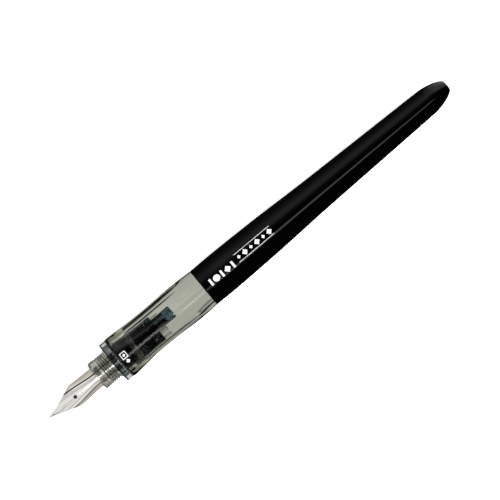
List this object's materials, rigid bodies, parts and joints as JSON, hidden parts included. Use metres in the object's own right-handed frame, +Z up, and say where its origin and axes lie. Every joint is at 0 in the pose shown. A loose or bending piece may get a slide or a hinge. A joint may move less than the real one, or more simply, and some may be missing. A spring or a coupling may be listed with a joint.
{
  "type": "cartridge dip-style pen",
  "caption": "Slim black fountain pen with a tapered barrel, clear smoke triangular grip, threaded nib housing, steel nib on a black feed, and an ink cartridge stored inside.",
  "frame": {"origin": "under the middle of the pen, on the surface it lies on", "axes": "+X from the nib to the tail along the pen; +Z up, through the top of the nib; +Y to the side"},
  "size_m": [0.15, 0.0134, 0.0135],
  "materials": {
    "smoke_clear": "clear smoke-grey moulding, polished",
    "ring_clear": "clear ring, polished",
    "nipple_smoke": "dark blue-grey clear plastic",
    "barrel_black": "polished black",
    "feed_black": "semi-gloss black",
    "nib_steel": "polished stainless steel",
    "tipping_alloy": "ground hard alloy",
    "cartridge_clear": "soft milky clear plastic",
    "ink": "liquid black ink"
  },
  "bodies": {
    "barrel": {"barrel": "barrel_black"},
    "collar": {"collar_ring": "ring_clear"},
    "section": {"grip_shell": "smoke_clear", "nib_housing": "smoke_clear", "ink_nipple": "nipple_smoke"},
    "feed": {"feed": "feed_black"},
    "nib": {"nib": "nib_steel", "nib_tipping_left": "tipping_alloy", "nib_tipping_right": "tipping_alloy"},
    "cartridge": {"cartridge_body": "cartridge_clear", "cartridge_mouth_ring": "cartridge_clear", "cartridge_seal_disc": "cartridge_clear", "ink_charge": "ink"}
  },
  "joints": [
    {"name": "section_advance", "type": "slide", "parent": "barrel", "child": "collar", "axis": [-1, 0, 0], "range_m": [0, 0.0064]},
    {"name": "section_turn", "type": "hinge", "parent": "collar", "child": "section", "pos_m": [0, 0, 0.00674], "axis": [-1, 0, 0], "range_deg": [0, 1530]},
    {"name": "feed_slide", "type": "slide", "parent": "section", "child": "feed", "axis": [-1, 0, 0], "range_m": [0, 0.027]},
    {"name": "nib_slide", "type": "slide", "parent": "feed", "child": "nib", "axis": [-1, 0, 0], "range_m": [0, 0.02]},
    {"name": "cartridge_slide", "type": "slide", "parent": "barrel", "child": "cartridge", "axis": [-1, 0, 0], "range_m": [0, 0.0172]}
  ],
  "couplings": [
    {"joint": "section_advance", "follows": "section_turn", "m_per_rad": 0.00023873}
  ]
}
